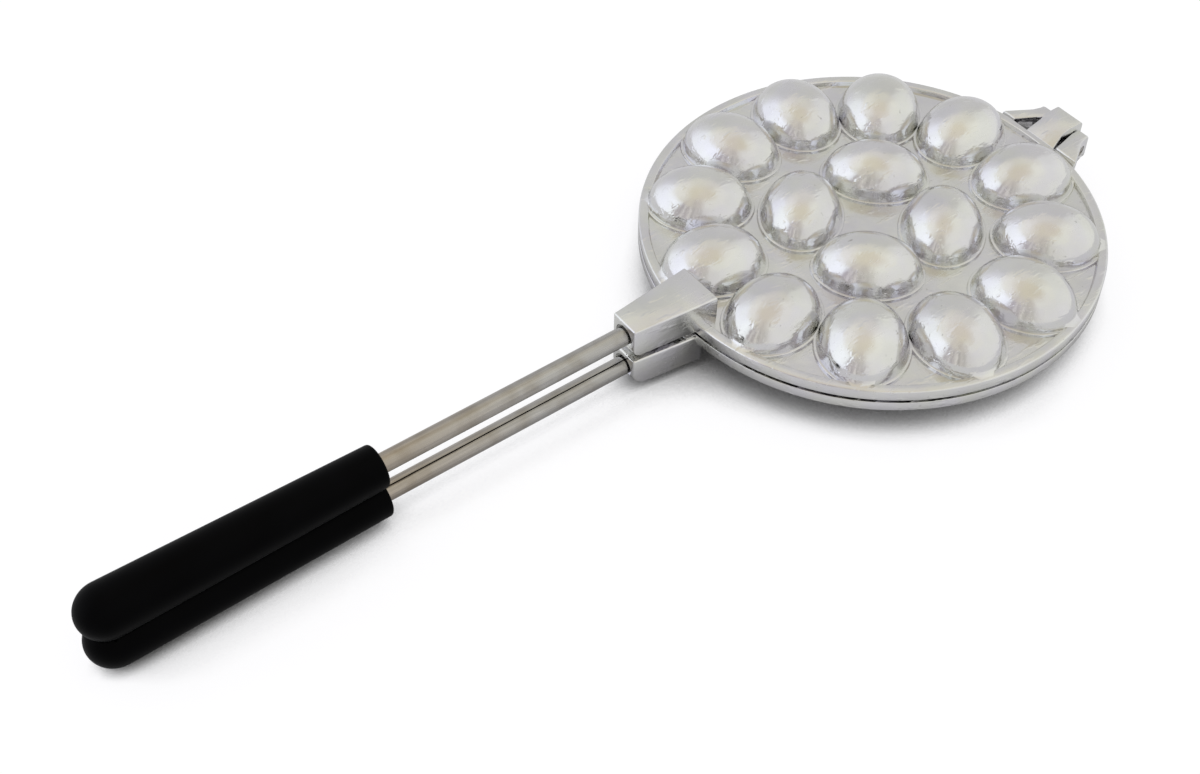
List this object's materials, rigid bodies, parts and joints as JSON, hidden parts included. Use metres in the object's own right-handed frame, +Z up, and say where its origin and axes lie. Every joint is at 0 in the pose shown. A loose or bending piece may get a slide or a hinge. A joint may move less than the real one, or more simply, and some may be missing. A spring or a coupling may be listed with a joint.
{
  "type": "walnut cookie mold",
  "caption": "Hinged cast aluminium stove-top iron that bakes walnut-shaped cookie shells between two round halves with long twin handles.",
  "frame": {"origin": "centre of the round lower half, on its flat underside", "axes": "+X from the handles toward the hinge, along the handles; +Z up, through the domes; +Y to the left of someone looking from the handles toward the hinge"},
  "size_m": [0.486, 0.2, 0.0392],
  "materials": {
    "cast_aluminium": "polished casting with soft tool marks",
    "steel": "rolled sheet steel, plated, satin",
    "black_plastic": "satin black thermoset"
  },
  "bodies": {
    "lower_half": {"lower_plate": "cast_aluminium", "hinge_pin": "steel", "lower_tube": "steel", "lower_grip": "black_plastic", "lower_socket_pin": "steel"},
    "upper_half": {"upper_plate": "cast_aluminium", "upper_tube": "steel", "upper_grip": "black_plastic", "upper_socket_pin": "steel"}
  },
  "joints": [
    {"name": "hinge", "type": "hinge", "parent": "lower_half", "child": "upper_half", "pos_m": [0.113, -0.0025, 0.0055], "axis": [0, 1, 0], "range_deg": [0, 180]}
  ]
}
